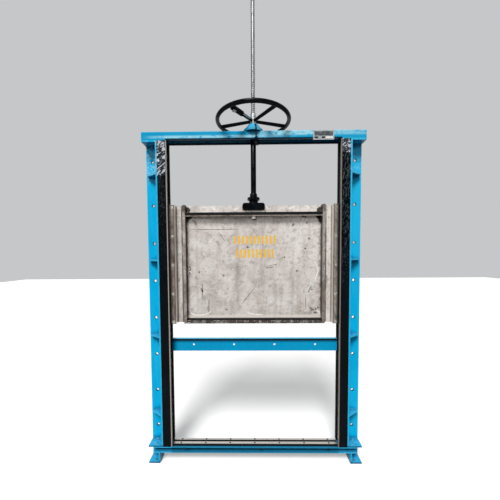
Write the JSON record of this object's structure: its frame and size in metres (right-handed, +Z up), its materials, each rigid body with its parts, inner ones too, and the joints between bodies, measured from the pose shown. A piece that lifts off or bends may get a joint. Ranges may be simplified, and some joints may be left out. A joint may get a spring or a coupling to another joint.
{
  "type": "sluice gate",
  "caption": "Wall-mounted sluice gate: steel frame with guides and rubber seals, a stiffened stainless leaf on a rising screw stem, and a handwheel on a pedestal over the head beam.",
  "frame": {"origin": "on the floor, under the axis of the stem and handwheel", "axes": "+Z up along the stem, -Y towards the front with the guides' bars, +Y towards the wall, +X to the right seen from the front"},
  "size_m": [1.5, 0.509, 3.3013],
  "materials": {
    "blue_enamel": "glossy sky blue enamel",
    "black_enamel": "glossy black, scuffed",
    "black_casting": "black enamelled casting",
    "stainless_steel": "pickled stainless, stained",
    "stained_steel": "brown stained steel",
    "bright_steel": "bright turned steel",
    "rubber": "matt black rubber",
    "slide_plastic": "black slide plastic",
    "bare_plate": "bare plate, dull"
  },
  "bodies": {
    "frame": {"left_web": "blue_enamel", "left_wall_flange": "blue_enamel", "left_gussets": "blue_enamel", "left_top_plate": "blue_enamel", "left_base_plate": "blue_enamel", "left_foot_plate": "blue_enamel", "left_guide_bar": "black_enamel", "left_jamb_clamp_bar": "stainless_steel", "left_jamb_seal": "rubber", "right_web": "blue_enamel", "right_wall_flange": "blue_enamel", "right_gussets": "blue_enamel", "right_top_plate": "blue_enamel", "right_base_plate": "blue_enamel", "right_foot_plate": "blue_enamel", "right_guide_bar": "black_enamel", "right_jamb_clamp_bar": "stainless_steel", "right_jamb_seal": "rubber", "head_beam": "blue_enamel", "cross_member": "blue_enamel", "sill": "blue_enamel", "pedestal": "blue_enamel", "lock_chain": "black_casting", "padlock": "black_casting", "cross_member_seal": "rubber", "sill_seal": "rubber", "sill_clamp_bars": "stainless_steel", "bare_plate": "bare_plate"},
    "leaf": {"leaf_skin": "stainless_steel", "leaf_top_member": "stainless_steel", "leaf_bottom_member": "stained_steel", "left_rib": "stainless_steel", "right_rib": "stainless_steel", "left_retainer": "stained_steel", "right_retainer": "stained_steel", "left_slide_bar": "slide_plastic", "right_slide_bar": "slide_plastic", "stem_block": "black_casting", "stem_collar": "black_casting", "stem": "bright_steel", "stem_foot_nut": "stainless_steel"},
    "wheel": {"handwheel": "black_casting", "wheel_nut": "bright_steel"}
  },
  "joints": [
    {"name": "leaf_lift", "type": "slide", "parent": "frame", "child": "leaf", "axis": [0, 0, 1], "range_m": [-0.861, 0]},
    {"name": "wheel_spin", "type": "hinge", "parent": "frame", "child": "wheel", "pos_m": [0, 0, 2.3733], "axis": [0, 0, 1], "continuous": true}
  ]
}
